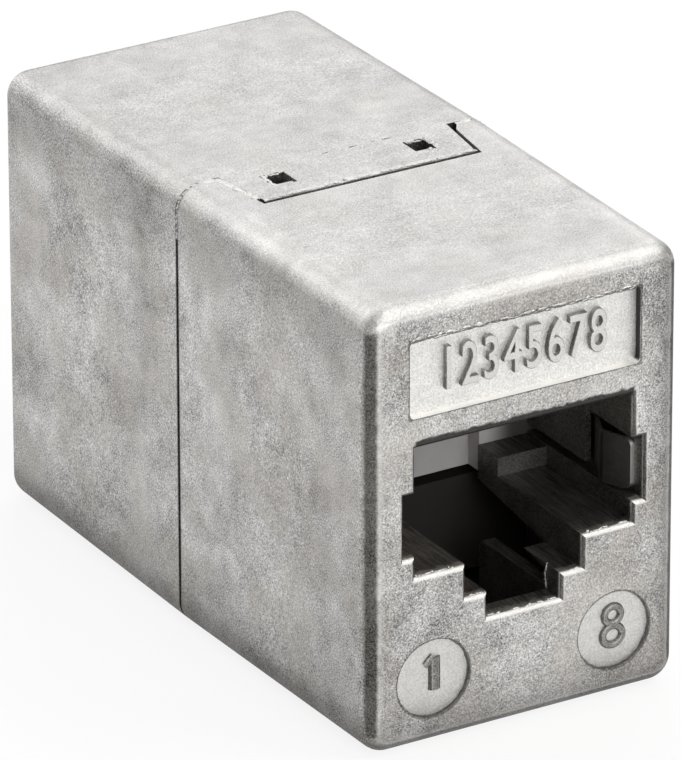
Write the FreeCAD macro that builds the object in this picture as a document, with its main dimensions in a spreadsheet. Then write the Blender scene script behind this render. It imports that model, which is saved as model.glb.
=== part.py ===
"""Shielded RJ45 inline coupler: two identical die-cast halves that snap together round two contact
carriers and the circuit board between them.

Frame: +X to the right seen from the front port, +Y from the front port to the rear one, +Z up.
The origin is at the middle of the underside. Every piece is drawn about the coupler's middle point, as the
front one of its pair: its port faces -Y and the parting plane is XZ. The rear pieces are the same ones
turned half a turn about X, so contact 1 of the front port lies straight opposite contact 1 of the rear one.
"""
import FreeCAD, Part
import os
import re
from math import atan2, cos, pi, sin

import Sketcher
from FreeCAD import Placement, Rotation, Vector

doc = FreeCAD.newDocument("coupler")

# ---------------------------------------------------------------- driving dimensions, in mm and degrees
SIZES = [
    # housing half
    ("body_width", 17.3, "width at the parting plane"),
    ("body_height", 22.9, "height at the parting plane"),
    ("half_length", 17.35, "parting plane to port face"),
    ("draft_angle", 0.4, "draft of the outer walls towards the port face"),
    ("face_edge_share", 0.457, "rounding round the port face, as a share of the rim beside its opening"),
    ("long_edge_ratio", 1.316, "rounding of the four long edges over that round the port face"),
    ("parting_gap", 0.18, "gap seen between the halves"),
    ("side_wall", 1.35, "left and right wall at the parting plane"),
    ("cap_wall", 1.75, "top and bottom wall at the parting plane"),
    ("port_wall", 1.3, "wall that the port opens through"),
    # port
    ("port_width", 11.9, "opening for the plug body"),
    ("port_height", 6.6, "ledge to top of the opening"),
    ("ledge_drop", 2.5, "middle of the coupler down to the ledges"),
    ("port_edge_radius", 0.3, "rounding of the opening's front edge"),
    ("seat_depth", 9.4, "port face to the seat of the contact carrier"),
    ("latch_width", 6.4, "upper step of the latch slot"),
    ("latch_drop", 1.7, "ledge down to the slot's step"),
    ("hook_width", 4.0, "lower step of the latch slot"),
    ("hook_drop", 1.3, "slot's step down to its floor"),
    ("rail_front", 2.0, "ledge's thickness behind the port wall"),
    ("rail_back", 0.8, "ledge's thickness at the carrier's seat"),
    ("stop_height", 0.95, "plug stop above the ledge"),
    ("stop_length", 1.8, "plug stop along the ledge"),
    ("rib_width", 0.7, "guard rib beside the latch"),
    ("rib_length", 6.0, "guard rib behind the port wall"),
    ("rib_rise", 0.15, "guard rib above the slot's floor"),
    ("rib_nose", 0.35, "rounded back end of a guard rib"),
    ("pocket_depth", 0.62, "shield spring pocket into the side wall"),
    ("pocket_length", 4.2, "port face to the pocket's end"),
    ("groove_height", 0.45, "groove that carries the pocket's floor back to the chamber"),
    ("pocket_low", 1.45, "middle of the coupler down to the pocket's floor"),
    ("pocket_high", 1.8, "middle of the coupler up to the pocket's top"),
    # panel and discs on the port face
    ("panel_lift", 1.55, "port's top up to the sunk panel"),
    ("panel_margin", 1.85, "panel's top up to the housing's"),
    ("panel_overhang", 0.35, "panel beyond the port at each side"),
    ("panel_depth", 0.45, "how far the panel is sunk"),
    ("panel_radius", 0.3, "corners of the panel"),
    ("disc_radius", 2.0, "sunk disc for a contact number"),
    ("disc_side", 3.67, "side of the housing to a disc's centre"),
    ("disc_base", 3.55, "underside of the housing up to a disc's centre"),
    ("disc_depth", 0.2, "how far a disc is sunk"),
    # snap tongue
    ("tongue_length", 3.4, "parting plane to the tongue's tip"),
    ("tongue_side", 2.35, "side of the housing to the tongue's root"),
    ("tongue_taper", 0.5, "how far each side of the tongue draws in towards its tip"),
    ("tongue_thickness", 0.8, "thickness of the tongue"),
    ("tongue_edge", 0.12, "rounding of the tongue's tip"),
    ("snap_gap", 0.2, "gap beside and under the tongue in its seat"),
    ("tip_gap", 0.28, "gap at the tongue's tip"),
    ("seat_relief", 0.35, "relief at the seat's two root corners"),
    ("window_width", 1.3, "window across the tongue"),
    ("window_length", 1.4, "window along the tongue"),
    ("window_setback", 0.8, "parting plane to the window"),
    ("window_side", 4.68, "side of the housing to a window's middle"),
    ("boss_length", 0.8, "catch boss along the tongue"),
    ("boss_top", 0.35, "flat top of a catch boss"),
    ("boss_height", 0.88, "catch boss above the tongue's seat"),
    ("boss_play", 0.05, "gap between a catch boss and its window"),
    # contact carrier
    ("fit_gap", 0.1, "gap between the insert pieces and the housing"),
    ("carrier_drop", 2.95, "middle of the coupler down to the carrier's underside"),
    ("carrier_recess", 1.0, "middle of the carrier's face behind its two feet"),
    ("recess_width", 6.56, "between the carrier's two feet"),
    ("apron_gap", 1.2, "chamber's floor up to the carrier's apron"),
    ("apron_slot", 0.5, "slot between the carrier's feet and its apron"),
    ("apron_slot_depth", 3.0, "that slot into the carrier"),
    ("roof_rise", 4.45, "middle of the coupler up to the roof's underside"),
    ("slot_width", 0.62, "slot for one contact"),
    ("slot_height", 0.7, "slot above the roof's underside"),
    ("comb_depth", 0.9, "comb slot into the carrier's face"),
    ("comb_drop", 0.3, "middle of the coupler up to the comb slots' floor"),
    # circuit board
    ("board_thickness", 1.6, "circuit board"),
    ("hole_radius", 0.36, "plated hole for a contact's tail"),
    # contact spring
    ("contact_count", 8, "contacts in a port"),
    ("contact_pitch", 1.02, "between neighbouring contacts"),
    ("contact_width", 0.45, "contact across"),
    ("contact_thickness", 0.25, "contact through"),
    ("contact_rise", 4.85, "middle of the coupler up to the contact's straight run"),
    ("tail_length", 0.4, "contact's tail beyond the board"),
    ("tail_room", 0.6, "contact's tail to the other carrier's apron"),
    ("bend_radius", 0.45, "contact's hairpin, to its middle line"),
    ("bend_setback", 2.7, "port face to the middle of the hairpin"),
    ("tip_rise", 0.85, "middle of the coupler up to the contact's tip"),
    ("tip_reach", 0.3, "contact's tip into its comb slot"),
    # shield spring
    ("strip_thickness", 0.2, "shield spring"),
    ("strip_play", 0.15, "gap below the shield spring, and above it in its slot"),
    ("strip_headroom", 0.45, "gap above the shield spring in its pocket"),
    ("strip_slip", 0.1, "gap beside the spring's heel in its slot"),
    ("strip_bend", 0.5, "bends of the shield spring, to its middle line"),
    ("strip_bulge", 0.3, "how far the bend reaches into the port"),
    ("strip_bend_setback", 2.5, "port face to the bend in the port"),
    ("strip_tip_setback", 0.9, "port face to the spring's free end"),
    ("strip_heel_setback", 4.05, "port face to the end of the spring's straight heel"),
    ("strip_corner", 0.4, "rounded corners of the free end"),
]
dims = doc.addObject("Spreadsheet::Sheet", "dims")
for row, (alias, number, meaning) in enumerate(SIZES, start=1):
    dims.set(f"A{row}", meaning)
    dims.set(f"B{row}", str(number))
    dims.setAlias(f"B{row}", alias)
doc.recompute()


def bind(text):
    """An expression in the sheet's names, such as "port_width / 2", as FreeCAD wants it."""
    return re.sub(r"[a-z][a-z_]*", r"dims.\g<0>", text)


def value(text):
    """The number that an expression in the sheet's names gives."""
    return float(dims.evalExpression(bind(text)))


# Places that several pieces share, as expressions
SEAM = "parting_gap / 2"
SEAT = "( half_length - seat_depth )"
FACE = "half_length"
WALL_BACK = "( half_length - port_wall )"
CAVITY_X = "( body_width / 2 - side_wall )"
CAVITY_Z = "( body_height / 2 - cap_wall )"
PORT_X = "port_width / 2"
PORT_TOP = "( port_height - ledge_drop )"
STEP = "( ledge_drop + latch_drop )"
FLOOR = "( ledge_drop + latch_drop + hook_drop )"
POCKET_X = "( port_width / 2 + pocket_depth )"
FACE_RADIUS = "( face_edge_share * ( body_width / 2 - port_width / 2 - pocket_depth ) )"
POCKET_END = "( half_length - pocket_length )"
STRIP_X = "( port_width / 2 + pocket_depth - strip_thickness )"
STRIP_LOW = "( strip_play - pocket_low )"
STRIP_HIGH = "( pocket_high - strip_headroom )"
PANEL_X = "( port_width / 2 + panel_overhang )"
PANEL_LOW = "( port_height - ledge_drop + panel_lift )"
PANEL_HIGH = "( body_height / 2 - panel_margin )"
BOARD_FACE = "board_thickness / 2"
CARRIER_FACE = "( half_length - seat_depth - carrier_recess )"
HAIRPIN_FRONT = "( half_length - bend_setback + 2 * bend_radius )"
TONGUE_TOP = "body_height / 2"
TONGUE_SEAT = "( body_height / 2 - tongue_thickness - snap_gap )"
TONGUE_ROOT = "( body_width / 2 - tongue_side )"
TONGUE_TIP = "( body_width / 2 - tongue_side - tongue_taper )"
WINDOW_X = "( body_width / 2 - window_side )"


# ---------------------------------------------------------------- drawing tools
def add_body(label, rear=False, shift="0"):
    """An empty body in its place: upright, or turned half a turn about X for the rear port."""
    body = doc.addObject("PartDesign::Body", label)
    body.Label = label
    body.Placement = Placement(Vector(0, 0, 0), Rotation(Vector(1, 0, 0), 180 if rear else 0))
    body.setExpression("Placement.Base.x", bind(shift))
    body.setExpression("Placement.Base.z", bind("body_height / 2"))
    return body


def add_sketch(body, name, plane, height="0"):
    """A sketch on one of the body's own planes, moved along the plane's normal by height.

    On XZ the normal points to -Y, so a height is a distance from the parting plane to the port."""
    sketch = body.newObject("Sketcher::SketchObject", f"{body.Name}_{name}")
    origin_plane = next(f for f in body.Origin.OriginFeatures if f.Role == f"{plane}_Plane")
    sketch.AttachmentSupport = [(origin_plane, "")]
    sketch.MapMode = "FlatFace"
    sketch.setExpression("AttachmentOffset.Base.z", bind(height))
    return sketch


def pin_point(sketch, geometry, end, x, y):
    """Ties one point of the sketch to a place given by two expressions."""
    for kind, text in (("DistanceX", x), ("DistanceY", y)):
        index = sketch.addConstraint(Sketcher.Constraint(kind, -1, 1, geometry, end, value(text)))
        sketch.setExpression(f"Constraints[{index}]", bind(text))


def add_outline(body, name, plane, corners, height="0"):
    """A sketch of one closed polygon whose corners are pairs of expressions."""
    sketch = add_sketch(body, name, plane, height)
    points = [Vector(value(x), value(y), 0) for x, y in corners]
    last = len(points) - 1
    for index, point in enumerate(points):
        sketch.addGeometry(Part.LineSegment(point, points[0 if index == last else index + 1]))
    for index in range(len(points)):
        following = 0 if index == last else index + 1
        sketch.addConstraint(Sketcher.Constraint("Coincident", index, 2, following, 1))
    for index, (x, y) in enumerate(corners):
        pin_point(sketch, index, 1, x, y)
    return sketch


def box_corners(left, right, low, high):
    """The four corners of a rectangle, counter-clockwise."""
    return [(left, low), (right, low), (right, high), (left, high)]


def add_circle(body, name, plane, x, y, radius, height="0"):
    """A sketch of one circle."""
    sketch = add_sketch(body, name, plane, height)
    sketch.addGeometry(Part.Circle(Vector(value(x), value(y), 0), Vector(0, 0, 1), value(radius)))
    pin_point(sketch, 0, 3, x, y)
    index = sketch.addConstraint(Sketcher.Constraint("Radius", 0, value(radius)))
    sketch.setExpression(f"Constraints[{index}]", bind(radius))
    return sketch


def pad(body, name, sketch, length, reverse=False, middle=False):
    """Adds material from a sketch along its normal, or against it, or half each way."""
    feature = body.newObject("PartDesign::Pad", f"{body.Name}_{name}")
    feature.Profile = sketch
    feature.Reversed = reverse
    feature.Midplane = middle
    feature.setExpression("Length", bind(length))
    return feature


def pocket(body, name, sketch, length=None, middle=False):
    """Cuts from a sketch along its normal, by a length or right through, or half each way."""
    feature = body.newObject("PartDesign::Pocket", f"{body.Name}_{name}")
    feature.Profile = sketch
    feature.Reversed = True
    feature.Midplane = middle
    if length is None:
        feature.Type = "ThroughAll"
    else:
        feature.setExpression("Length", bind(length))
    return feature


def fillet(body, name, radius, chosen):
    """Rounds the edges of the body so far that the test chosen accepts."""
    doc.recompute()
    base = body.Tip
    edges = [f"Edge{n}" for n, edge in enumerate(base.Shape.Edges, start=1) if chosen(edge)]
    feature = body.newObject("PartDesign::Fillet", f"{body.Name}_{name}")
    feature.Base = (base, edges)
    feature.setExpression("Radius", bind(radius))
    body.Tip = feature
    return feature


def runs_along(edge, axis):
    """True for a straight edge that runs within a degree or so of an axis."""
    if not isinstance(edge.Curve, Part.Line):
        return False
    return abs(edge.Curve.Direction.dot(axis)) > 0.9997


X_AXIS, Y_AXIS, Z_AXIS = Vector(1, 0, 0), Vector(0, 1, 0), Vector(0, 0, 1)
TINY = 1e-4


def lies_at(edge, **limits):
    """True where all of an edge lies on the given x, y or z."""
    box = edge.BoundBox
    for axis, place in limits.items():
        low, high = getattr(box, f"{axis.upper()}Min"), getattr(box, f"{axis.upper()}Max")
        if abs(low - place) > TINY or abs(high - place) > TINY:
            return False
    return True


# ---------------------------------------------------------------- housing half
def outer_block(body):
    """The drafted, rounded block that the casting is cut from."""
    corners = box_corners("-body_width / 2", "body_width / 2", "-body_height / 2", "body_height / 2")
    block = pad(body, "block", add_outline(body, "section", "XZ", corners, SEAM), f"half_length - {SEAM}")
    block.setExpression("TaperAngle", bind("-draft_angle"))
    face = -value(FACE)
    fillet(body, "long_edges", f"long_edge_ratio * {FACE_RADIUS}", lambda edge: edge.BoundBox.YLength > -face / 2)
    fillet(body, "face_edges", FACE_RADIUS, lambda edge: lies_at(edge, y=face))


def hollow_out(body):
    """The room for the carrier and board, the plug guide, and the space under the latch, whose roof
    rises towards the parting plane."""
    def cut(name, left, right, low, high, end):
        sketch = add_outline(body, f"{name}_section", "XZ", box_corners(left, right, low, high))
        pocket(body, name, sketch, end)

    cut("chamber", f"-{CAVITY_X}", CAVITY_X, f"-{CAVITY_Z}", CAVITY_Z, SEAT)
    cut("guide", f"-{PORT_X}", PORT_X, "-ledge_drop", CAVITY_Z, WALL_BACK)
    rail_front, rail_back = "-( ledge_drop + rail_front )", "-( ledge_drop + rail_back )"
    profile = [("0", f"-{CAVITY_Z}"), ("0", rail_back), (f"-{SEAT}", rail_back),
               (f"-{WALL_BACK}", rail_front), (f"-{WALL_BACK}", f"-{CAVITY_Z}")]
    sketch = add_outline(body, "underfloor_profile", "YZ", profile)
    pocket(body, "underfloor", sketch, "port_width", middle=True)


def open_port(body):
    """The port's opening with its two-step latch slot, and the shield springs' pockets beside it, each
    with a slot behind it for the spring's heel."""
    opening = [
        (f"-{PORT_X}", PORT_TOP),
        (f"-{PORT_X}", "-ledge_drop"),
        ("-latch_width / 2", "-ledge_drop"),
        ("-latch_width / 2", f"-{STEP}"),
        ("-hook_width / 2", f"-{STEP}"),
        ("-hook_width / 2", f"-{FLOOR}"),
        ("hook_width / 2", f"-{FLOOR}"),
        ("hook_width / 2", f"-{STEP}"),
        ("latch_width / 2", f"-{STEP}"),
        ("latch_width / 2", "-ledge_drop"),
        (PORT_X, "-ledge_drop"),
        (PORT_X, PORT_TOP),
    ]
    pocket(body, "opening", add_outline(body, "opening_section", "XZ", opening))
    corners = box_corners(f"-{POCKET_X}", POCKET_X, "-pocket_low", "pocket_high")
    mouth = add_outline(body, "spring_pocket_section", "XZ", corners, POCKET_END)
    pocket(body, "spring_pockets", mouth, "pocket_length")
    corners = box_corners(f"-{POCKET_X}", POCKET_X, "-pocket_low", "-( pocket_low - groove_height )")
    pocket(body, "grooves", add_outline(body, "groove_section", "XZ", corners), POCKET_END)
    for side, sign in (("left", "-"), ("right", "")):
        corners = box_corners(f"{sign}( {STRIP_X} - strip_slip )", f"{sign}{POCKET_X}", "-pocket_low",
                              f"{STRIP_HIGH} + strip_play")
        pocket(body, f"slot_{side}", add_outline(body, f"slot_{side}_section", "XZ", corners), POCKET_END)


def add_rails(body):
    """The plug stops at the back of the ledges, and the guard ribs on the floor beside the latch."""
    for side, sign in (("left", "-"), ("right", "")):
        stop = box_corners(f"{sign}latch_width / 2", f"{sign}{PORT_X}", "-ledge_drop",
                           "-( ledge_drop - stop_height )")
        pad(body, f"stop_{side}", add_outline(body, f"stop_{side}_section", "XZ", stop, SEAT), "stop_length")
        rib = box_corners(f"{sign}hook_width / 2", f"{sign}( hook_width / 2 + rib_width )",
                          f"-{CAVITY_Z}", f"-( {FLOOR} - rib_rise )")
        sketch = add_outline(body, f"rib_{side}_section", "XZ", rib, f"{WALL_BACK} - rib_length")
        pad(body, f"rib_{side}", sketch, "rib_length")
    nose_y, nose_z = -value(f"{WALL_BACK} - rib_length"), -value(f"{FLOOR} - rib_rise")
    fillet(body, "rib_noses", "rib_nose", lambda edge: lies_at(edge, y=nose_y, z=nose_z))


def sink_panel(body):
    """The inscription panel above the port and the two contact number discs below it."""
    corners = box_corners(f"-{PANEL_X}", PANEL_X, PANEL_LOW, PANEL_HIGH)
    sketch = add_outline(body, "panel_section", "XZ", corners, f"{FACE} - panel_depth")
    pocket(body, "panel", sketch, "panel_depth")
    corner_x, low, high = value(PANEL_X), value(PANEL_LOW) - TINY, value(PANEL_HIGH) + TINY
    fillet(body, "panel_corners", "panel_radius", lambda edge: runs_along(edge, Y_AXIS)
           and abs(abs(edge.BoundBox.XMin) - corner_x) < TINY and low < edge.BoundBox.ZMin < high)
    for side, sign in (("left", "-"), ("right", "")):
        sketch = add_circle(body, f"disc_{side}_section", "XZ", f"{sign}( body_width / 2 - disc_side )",
                            "-( body_height / 2 - disc_base )", "disc_radius", f"{FACE} - disc_depth")
        pocket(body, f"disc_{side}", sketch, "disc_depth")


def cut_tongue_seat(body):
    """The seat in the top wall for the other half's tongue, and the two bosses that catch it."""
    relief_y = "2 * seat_relief"
    relief_x = f"( {TONGUE_ROOT} + snap_gap - tongue_taper * {relief_y} / tongue_length )"
    right_side = [(f"( {TONGUE_TIP} + snap_gap )", "-( tongue_length + tip_gap )"),
                  (relief_x, f"-{relief_y}"),
                  (f"( {TONGUE_ROOT} + snap_gap + seat_relief )", "0")]
    left_side = [(f"-{x}", y) for x, y in reversed(right_side)]
    pocket(body, "seat", add_outline(body, "seat_outline", "XY", left_side + right_side, TONGUE_SEAT))
    front = "( window_setback + window_length - boss_play )"
    profile = [
        (f"-{front}", TONGUE_SEAT),
        (f"-{front}", f"{TONGUE_SEAT} + boss_height"),
        (f"-( {front} - boss_top )", f"{TONGUE_SEAT} + boss_height"),
        (f"-( {front} - boss_length )", TONGUE_SEAT),
    ]
    for side, sign in (("left", "-"), ("right", "")):
        sketch = add_outline(body, f"boss_{side}_profile", "YZ", profile, f"{sign}{WINDOW_X}")
        pad(body, f"boss_{side}", sketch, "window_width - 2 * boss_play", middle=True)


def add_tongue(body):
    """The snap tongue on the bottom wall, past the parting plane, with its two windows."""
    outline = [(f"-{TONGUE_ROOT}", f"-{SEAM}"), (TONGUE_ROOT, f"-{SEAM}"),
               (TONGUE_ROOT, "0"), (TONGUE_TIP, "tongue_length"),
               (f"-{TONGUE_TIP}", "tongue_length"), (f"-{TONGUE_ROOT}", "0")]
    pad(body, "tongue", add_outline(body, "tongue_outline", "XY", outline, f"-{TONGUE_TOP}"),
        "tongue_thickness")
    outer, tip = -value(TONGUE_TOP), value("tongue_length")
    fillet(body, "tongue_tip", "tongue_edge", lambda edge: lies_at(edge, y=tip, z=outer))
    for side, sign in (("left", "-"), ("right", "")):
        middle = f"{sign}{WINDOW_X}"
        corners = box_corners(f"{middle} - window_width / 2", f"{middle} + window_width / 2",
                              "window_setback", "window_setback + window_length")
        sketch = add_outline(body, f"window_{side}_outline", "XY", corners, f"-{TONGUE_TOP}")
        pocket(body, f"window_{side}", sketch, "tongue_thickness")


def round_port_edge(body):
    """The soft edge that tumbling leaves round the opening, in the port face."""
    face, half = -value(FACE), value(POCKET_X) + TINY

    def on_opening(edge):
        box = edge.BoundBox
        within = -half < box.XMin and box.XMax < half
        return lies_at(edge, y=face) and within and -value(FLOOR) - TINY < box.ZMin \
            and box.ZMax < value(PORT_TOP) + TINY

    fillet(body, "port_edge", "port_edge_radius", on_opening)


def make_shell(label, rear):
    """One die-cast half."""
    body = add_body(label, rear)
    outer_block(body)
    hollow_out(body)
    open_port(body)
    add_rails(body)
    sink_panel(body)
    cut_tongue_seat(body)
    add_tongue(body)
    round_port_edge(body)
    return body


# ---------------------------------------------------------------- insert
def contact_place(index):
    """Where contact number index, counted from 0, stands across the port."""
    return f"( {index} - ( contact_count - 1 ) / 2 ) * contact_pitch"


def make_carrier(label, rear):
    """The contact carrier: a block on the board with two feet, an apron below them, and a roof over the
    plug."""
    body = add_body(label, rear)
    block_x = f"( {CAVITY_X} - fit_gap )"
    roof_x = f"( {PORT_X} - fit_gap )"
    top = f"( {CAVITY_Z} - fit_gap )"
    corners = box_corners(f"-{block_x}", block_x, "-carrier_drop", top)
    block = add_outline(body, "block_section", "XZ", corners, BOARD_FACE)
    pad(body, "block", block, f"{SEAT} - {BOARD_FACE}")
    corners = box_corners(f"-{block_x}", block_x, f"-( {CAVITY_Z} - apron_gap )", "-carrier_drop")
    apron_back = f"( {BOARD_FACE} + tail_length + tail_room )"
    pad(body, "apron", add_outline(body, "apron_section", "XZ", corners, apron_back),
        f"{CARRIER_FACE} - {apron_back}")
    corners = box_corners(f"-{block_x}", block_x, "-( carrier_drop + apron_slot )", "-carrier_drop")
    slot = add_outline(body, "apron_slot_section", "XZ", corners, f"{CARRIER_FACE} - apron_slot_depth")
    pocket(body, "apron_slot", slot, "apron_slot_depth")
    corners = box_corners(f"-{roof_x}", roof_x, "roof_rise", top)
    roof = add_outline(body, "roof_section", "XZ", corners, SEAT)
    pad(body, "roof", roof, f"{WALL_BACK} - {SEAT} - fit_gap")
    corners = box_corners("-recess_width / 2", "recess_width / 2", "-carrier_drop", "comb_drop - slot_width")
    recess = add_outline(body, "recess_section", "XZ", corners, CARRIER_FACE)
    pocket(body, "recess", recess, "carrier_recess")
    for index in range(round(value("contact_count"))):
        left = f"{contact_place(index)} - slot_width / 2"
        right = f"{contact_place(index)} + slot_width / 2"
        corners = box_corners(left, right, "roof_rise", "roof_rise + slot_height")
        sketch = add_outline(body, f"slot_{index + 1}_section", "XZ", corners)
        pocket(body, f"slot_{index + 1}", sketch, HAIRPIN_FRONT)
        corners = box_corners(left, right, "comb_drop", "roof_rise")
        sketch = add_outline(body, f"comb_{index + 1}_section", "XZ", corners, f"{SEAT} - comb_depth")
        pocket(body, f"comb_{index + 1}", sketch, "comb_depth")
    return body


def make_board(label):
    """The circuit board, upright across the middle, with a plated hole for every contact's tail."""
    body = add_body(label)
    half_x, half_z = f"( {CAVITY_X} - fit_gap )", f"( {CAVITY_Z} - fit_gap )"
    corners = box_corners(f"-{half_x}", half_x, f"-{half_z}", half_z)
    pad(body, "plate", add_outline(body, "plate_section", "XZ", corners), "board_thickness", middle=True)
    for row, sign in (("front", ""), ("rear", "-")):
        for index in range(round(value("contact_count"))):
            sketch = add_circle(body, f"{row}_hole_{index + 1}_section", "XZ", contact_place(index),
                                f"{sign}contact_rise", "hole_radius")
            pocket(body, f"{row}_hole_{index + 1}", sketch, middle=True)
    return body


def tangent(sketch, first, first_end, second, second_end):
    """Joins two curves of a sketch end to end, without a kink."""
    sketch.addConstraint(Sketcher.Constraint("Tangent", first, first_end, second, second_end))


def set_radius(sketch, arc, text):
    """Ties an arc's radius to an expression."""
    index = sketch.addConstraint(Sketcher.Constraint("Radius", arc, value(text)))
    sketch.setExpression(f"Constraints[{index}]", bind(text))


def sweep(body, profile, path):
    """A strip: the profile carried along the path."""
    pipe = body.newObject("PartDesign::AdditivePipe", f"{body.Name}_strip")
    pipe.Profile = profile
    doc.recompute()
    pipe.Spine = (path, [f"Edge{n + 1}" for n in range(path.GeometryCount)])
    pipe.Transition = "Transformed"
    return pipe


def make_contact(label, rear, index):
    """One contact: a tail in the board, a straight run under the roof, a hairpin and the sprung arm."""
    body = add_body(label, rear, contact_place(index))
    path = add_sketch(body, "path", "YZ")
    radius = value("bend_radius")
    tail = Vector(value(f"{BOARD_FACE} + tail_length"), value("contact_rise"), 0)
    centre = Vector(value("bend_setback - half_length"), value("contact_rise - bend_radius"), 0)
    tip = Vector(value(f"tip_reach - {SEAT}"), value("tip_rise"), 0)
    slope = atan2(centre.y - radius - tip.y, tip.x - centre.x)
    start, end = pi / 2, 3 * pi / 2 - slope
    leave = centre + Vector(radius * cos(end), radius * sin(end), 0)
    path.addGeometry(Part.LineSegment(tail, Vector(centre.x, tail.y, 0)))
    path.addGeometry(Part.ArcOfCircle(Part.Circle(centre, Vector(0, 0, 1), radius), start, end))
    path.addGeometry(Part.LineSegment(leave, tip))
    path.addConstraint(Sketcher.Constraint("Horizontal", 0))
    tangent(path, 0, 2, 1, 1)
    tangent(path, 1, 2, 2, 1)
    set_radius(path, 1, "bend_radius")
    pin_point(path, 0, 1, f"{BOARD_FACE} + tail_length", "contact_rise")
    index = path.addConstraint(Sketcher.Constraint("DistanceX", -1, 1, 1, 3, centre.x))
    path.setExpression(f"Constraints[{index}]", bind("bend_setback - half_length"))
    pin_point(path, 2, 2, f"tip_reach - {SEAT}", "tip_rise")
    half_wide, half_thick = "contact_width / 2", "contact_thickness / 2"
    corners = box_corners(f"-{half_wide}", half_wide, f"contact_rise - {half_thick}",
                          f"contact_rise + {half_thick}")
    profile = add_outline(body, "profile", "XZ", corners, f"-( {BOARD_FACE} + tail_length )")
    sweep(body, profile, path)
    return body


def make_strip(label, rear, sign):
    """One shield spring: its heel in the slot, then bent into the port, its free end back in the pocket.

    sign is "" for the spring on the right and "-" for the one on the left."""
    body = add_body(label, rear)
    line = [
        (STRIP_X, f"-{SEAT}"),
        (STRIP_X, "-( half_length - strip_heel_setback )"),
        (f"( {PORT_X} - strip_bulge )", "-( half_length - strip_bend_setback )"),
        (STRIP_X, "-( half_length - strip_tip_setback )"),
    ]
    inside = [(f"{sign}{x}", y) for x, y in line]
    outside = [(f"{sign}( {x} + strip_thickness )", y) for x, y in reversed(line)]
    sketch = add_outline(body, "outline", "XY", inside + outside, STRIP_LOW)
    pad(body, "strip", sketch, f"{STRIP_HIGH} - {STRIP_LOW}")
    tip_y, heel_y = -value("half_length - strip_tip_setback"), -value(SEAT)
    fillet(body, "tip_corners", "strip_corner", lambda edge: runs_along(edge, X_AXIS)
           and lies_at(edge, y=tip_y))
    fillet(body, "bends", "strip_bend", lambda edge: runs_along(edge, Z_AXIS)
           and tip_y + TINY < edge.BoundBox.YMin < heel_y - TINY)
    return body


# ---------------------------------------------------------------- the coupler
parts = [make_shell("front_shell", False), make_shell("rear_shell", True)]
parts += [make_carrier("front_carrier", False), make_carrier("rear_carrier", True)]
parts.append(make_board("circuit_board"))
for end, rear in (("front", False), ("rear", True)):
    for index in range(round(value("contact_count"))):
        parts.append(make_contact(f"{end}_contact_{index + 1}", rear, index))
    for side, sign in (("left", "-"), ("right", "")):
        parts.append(make_strip(f"{end}_shield_spring_{side}", rear, sign))
doc.recompute()

# ---------------------------------------------------------------- checks and export
failed = [f"{item.Name}: {item.State}" for item in doc.Objects if {"Invalid", "Error"} & set(item.State)]
for part in parts:
    if part.Shape.isNull() or not part.Shape.isValid() or len(part.Shape.Solids) != 1:
        failed.append(f"{part.Label}: {len(part.Shape.Solids)} solids")
if failed:
    raise RuntimeError("; ".join(failed))
os.makedirs("parts", exist_ok=True)
for part in parts:
    part.Shape.exportStep(f"parts/{part.Label}.step")
    box = part.Shape.optimalBoundingBox(False)
    print(f"{part.Label}: {part.Shape.Volume:.2f} mm3, x {box.XMin:.2f} to {box.XMax:.2f}, "
          f"y {box.YMin:.2f} to {box.YMax:.2f}, z {box.ZMin:.2f} to {box.ZMax:.2f}")
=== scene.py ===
# %% [markdown]
# # A shielded network coupler
#
# This lesson dresses a small metal block that joins two network leads. Two identical zinc castings snap
# together round a plastic insert, and each has a port in its end. The solids come ready made, so the work
# here is light, surface, the raised figures of the casting and the thin flash that its die leaves along
# the edges. Everything is in metres, in the frame of the solids.

# %% Load the solids
import math

import bmesh
import bpy
from mathutils import Matrix, Vector


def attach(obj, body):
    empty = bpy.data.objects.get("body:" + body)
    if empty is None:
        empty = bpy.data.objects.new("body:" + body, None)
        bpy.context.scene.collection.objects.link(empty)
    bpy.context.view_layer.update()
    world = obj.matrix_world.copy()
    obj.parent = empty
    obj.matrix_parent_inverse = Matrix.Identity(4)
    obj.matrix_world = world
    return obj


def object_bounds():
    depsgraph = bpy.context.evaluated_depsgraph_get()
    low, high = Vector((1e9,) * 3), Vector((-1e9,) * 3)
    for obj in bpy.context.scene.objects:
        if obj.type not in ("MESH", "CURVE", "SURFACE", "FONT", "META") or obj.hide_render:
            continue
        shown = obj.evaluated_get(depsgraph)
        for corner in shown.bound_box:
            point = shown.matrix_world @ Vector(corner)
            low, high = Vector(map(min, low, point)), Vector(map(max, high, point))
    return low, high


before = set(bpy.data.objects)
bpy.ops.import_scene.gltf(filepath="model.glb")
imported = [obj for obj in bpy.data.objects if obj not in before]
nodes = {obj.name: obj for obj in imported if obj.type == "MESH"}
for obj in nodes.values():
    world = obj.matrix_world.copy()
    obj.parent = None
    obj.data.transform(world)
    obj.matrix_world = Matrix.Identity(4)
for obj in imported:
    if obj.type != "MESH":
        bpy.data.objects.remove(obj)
CAD_LOW, CAD_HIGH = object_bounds()
MM = 0.001
MIDDLE = (CAD_LOW + CAD_HIGH) / 2
print("solids:", len(nodes), "size in mm:", [round(v / MM, 2) for v in CAD_HIGH - CAD_LOW])

# %% [markdown]
# ## The camera
#
# The block is seen from the left of its front port and from above, through a long lens from far away, so
# its long edges hardly converge. Two angles and a distance from the middle of the block place the camera.
# Its turn is built from three directions at right angles: right, up and back.

# %% Camera
AZIMUTH, ELEVATION, ROLL = math.radians(30.82), math.radians(24.38), math.radians(-0.12)
DISTANCE, LENS, SENSOR = 0.45566, 449.3, 36.0
SLIDE_RIGHT, SLIDE_UP = 0.29 * MM, -0.45 * MM

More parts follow.
